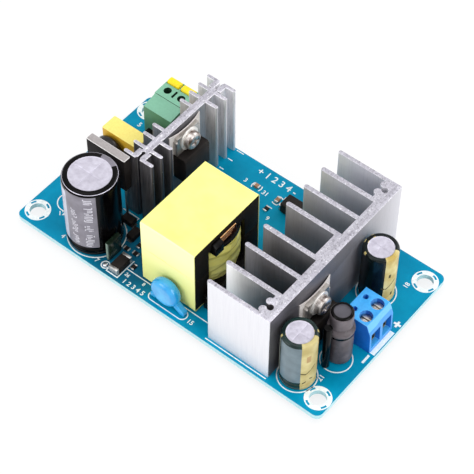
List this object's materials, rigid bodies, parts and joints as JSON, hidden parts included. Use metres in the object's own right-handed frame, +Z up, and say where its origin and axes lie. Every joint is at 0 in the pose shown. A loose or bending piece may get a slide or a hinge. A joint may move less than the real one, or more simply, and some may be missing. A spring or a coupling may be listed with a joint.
{
  "type": "open frame power supply",
  "caption": "Bare board mains to 12 V supply with finned heatsinks, taped transformer, can capacitors, a spring input terminal and a screw output terminal.",
  "frame": {"origin": "centre of the four fixing holes, on the underside of the board", "axes": "+X along the board's length from the mains terminal to the output terminal, +Y to the back edge, +Z up"},
  "size_m": [0.107, 0.0588, 0.0298],
  "materials": {
    "board_resist": "glossy teal-blue lacquer over glass-fibre board, with white print",
    "solder": "bright solder cones",
    "dark_sawn_aluminium": "extruded, sawn top, darkened sides",
    "sawn_aluminium": "extruded, sawn top with bright nicks",
    "tinned_steel": "tinned",
    "can_aluminium": "satin, with a cross vent",
    "black_sleeve": "shrunk film with a light grey stripe",
    "green_sleeve": "shrunk film with a gold stripe",
    "tinned_copper": "tinned",
    "ferrite": "matt, fine grain",
    "black_plastic": "moulded, satin",
    "olive_tape": "wrinkled polyester tape",
    "yellow_tape": "smooth polyester tape",
    "enamelled_copper": "enamelled copper wire",
    "epoxy": "moulded, matt",
    "yellow_plastic": "moulded, satin",
    "dark_lacquer": "dipped lacquer",
    "blue_lacquer": "glossy dipped lacquer",
    "green_lacquer": "glossy dipped lacquer",
    "green_plastic": "moulded, satin",
    "yellow_button": "moulded, satin",
    "spring_steel": "plated strip",
    "blue_plastic": "moulded, satin",
    "plated_steel": "nickel plated",
    "plated_brass": "nickel plated",
    "pad_rubber": "silicone on glass cloth",
    "white_plastic": "moulded",
    "brown_sleeve": "heat-shrink",
    "brown_ceramic": "sintered, matt"
  },
  "bodies": {
    "supply": {"circuit_board": "board_resist", "solder_joints": "solder", "primary_heatsink": "dark_sawn_aluminium", "output_heatsink": "sawn_aluminium", "heatsink_pins": "tinned_steel", "bulk_capacitor_can": "can_aluminium", "bulk_capacitor_sleeve": "black_sleeve", "front_capacitor_can": "can_aluminium", "front_capacitor_sleeve": "green_sleeve", "back_capacitor_can": "can_aluminium", "back_capacitor_sleeve": "green_sleeve", "capacitor_leads": "tinned_copper", "transformer_lower_core": "ferrite", "transformer_upper_core": "ferrite", "transformer_bobbin": "black_plastic", "transformer_winding": "olive_tape", "transformer_tape": "yellow_tape", "transformer_wires": "enamelled_copper", "transformer_pins": "tinned_copper", "bridge_rectifier": "epoxy", "bridge_leads": "tinned_copper", "box_capacitor": "yellow_plastic", "thermistor": "dark_lacquer", "fuse": "black_plastic", "disc_capacitor": "blue_lacquer", "film_capacitor": "green_lacquer", "small_part_leads": "tinned_copper", "input_terminal_housing": "green_plastic", "input_terminal_springs": "spring_steel", "output_terminal_housing": "blue_plastic", "output_terminal_screws": "plated_steel", "output_terminal_cages": "plated_brass", "output_terminal_pins": "tinned_copper", "switch_transistor": "epoxy", "switch_transistor_frame": "tinned_copper", "output_rectifier": "epoxy", "output_rectifier_frame": "tinned_copper", "insulating_pads": "pad_rubber", "insulating_bushes": "white_plastic", "package_washers": "plated_steel", "package_screws": "plated_steel", "choke_core": "ferrite", "choke_winding": "enamelled_copper", "choke_sleeve": "brown_sleeve", "choke_return_sleeve": "brown_sleeve", "choke_leads": "tinned_copper", "optocoupler": "epoxy", "optocoupler_legs": "tinned_copper", "block_resistor": "epoxy", "chip_capacitors": "brown_ceramic", "chip_resistors": "epoxy", "chip_metal_ends": "tinned_copper", "surface_diodes": "epoxy", "surface_diode_tabs": "tinned_copper", "controller_chip": "epoxy", "controller_chip_legs": "tinned_copper"},
    "left_button": {"left_push_button": "yellow_button"},
    "right_button": {"right_push_button": "yellow_button"}
  },
  "joints": [
    {"name": "left_button_press", "type": "slide", "parent": "supply", "child": "left_button", "axis": [0, 0, -1], "range_m": [0, 0.0012], "stiffness_N_per_m": 800, "springref_m": -0.001},
    {"name": "right_button_press", "type": "slide", "parent": "supply", "child": "right_button", "axis": [0, 0, -1], "range_m": [0, 0.0012], "stiffness_N_per_m": 800, "springref_m": -0.001}
  ]
}
